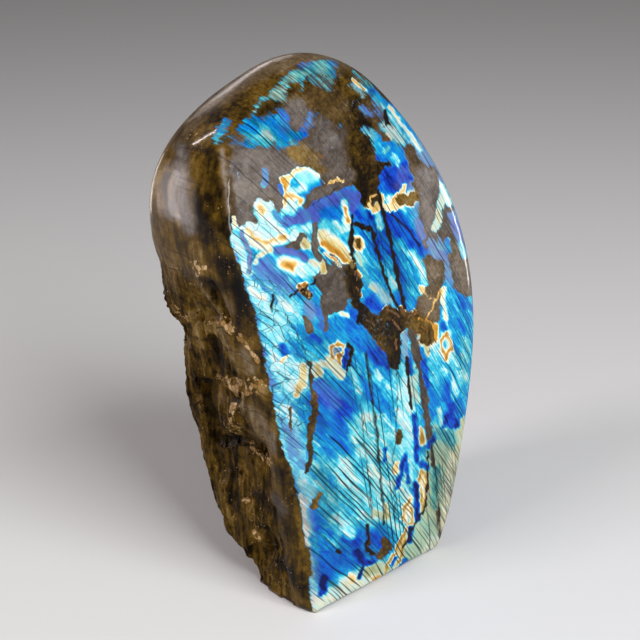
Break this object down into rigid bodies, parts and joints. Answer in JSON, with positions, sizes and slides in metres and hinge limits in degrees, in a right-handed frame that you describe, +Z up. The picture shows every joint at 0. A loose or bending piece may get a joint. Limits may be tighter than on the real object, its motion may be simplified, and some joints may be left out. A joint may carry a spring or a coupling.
{
  "type": "polished labradorite freeform stone",
  "caption": "Free-standing labradorite: a leaning tongue of stone, sawn flat at the foot, polished in front and on top, broken at the lower left and back.",
  "frame": {"origin": "on the surface that the stone stands on, at the middle of its width and depth", "axes": "+Z up, along the stone's length; the broad polished face looks towards -Y; +X to its right"},
  "size_m": [0.1222, 0.0672, 0.1874],
  "materials": {
    "labradorite": "polished, with blue, cyan and gold labradorescence; rough and brown where it broke"
  },
  "bodies": {
    "root": {"labradorite_stone": "labradorite"}
  },
  "joints": []
}
